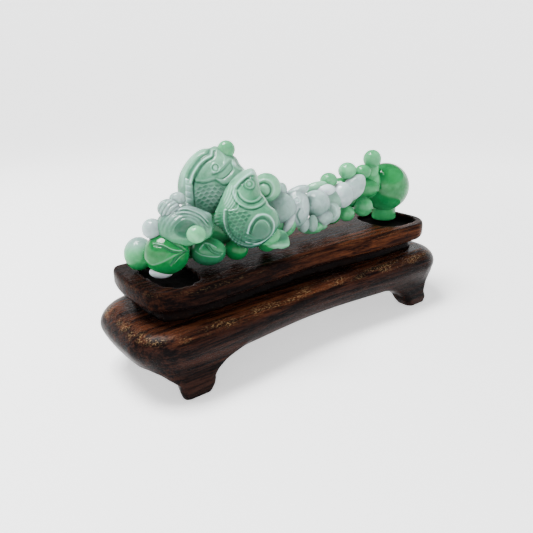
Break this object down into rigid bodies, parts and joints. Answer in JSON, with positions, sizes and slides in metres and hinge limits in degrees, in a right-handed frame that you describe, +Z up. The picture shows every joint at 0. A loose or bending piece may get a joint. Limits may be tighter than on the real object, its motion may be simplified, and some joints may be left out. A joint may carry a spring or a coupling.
{
  "type": "carved jade ornament on wooden stand",
  "caption": "Translucent green, pale and lavender jade carving of fish, round fruits and buds, resting in sockets of a long two-tier dark rosewood stand with short feet.",
  "frame": {"origin": "under the middle of the stand, on the surface it rests on", "axes": "+X along the stand towards the end with the large green ball, +Y from the viewed front to the back, +Z up"},
  "size_m": [0.1366, 0.0457, 0.0727],
  "materials": {
    "jade": "polished, translucent",
    "rosewood": "oiled and polished, dark, open grained",
    "dark_rosewood": "stained dark",
    "bamboo": "bare"
  },
  "bodies": {
    "stand": {"top_board_long": "rosewood", "top_board_short": "rosewood", "neck_board": "dark_rosewood", "base_long_section": "rosewood", "base_short_section": "rosewood", "edge_plug": "dark_rosewood", "dowel_1": "bamboo", "dowel_2": "bamboo", "dowel_3": "bamboo", "dowel_4": "bamboo"},
    "carving": {"jade_carving": "jade"}
  },
  "joints": [
    {"name": "carving_lift", "type": "slide", "parent": "stand", "child": "carving", "axis": [0, 0, 1], "range_m": [0, 0.05]}
  ]
}
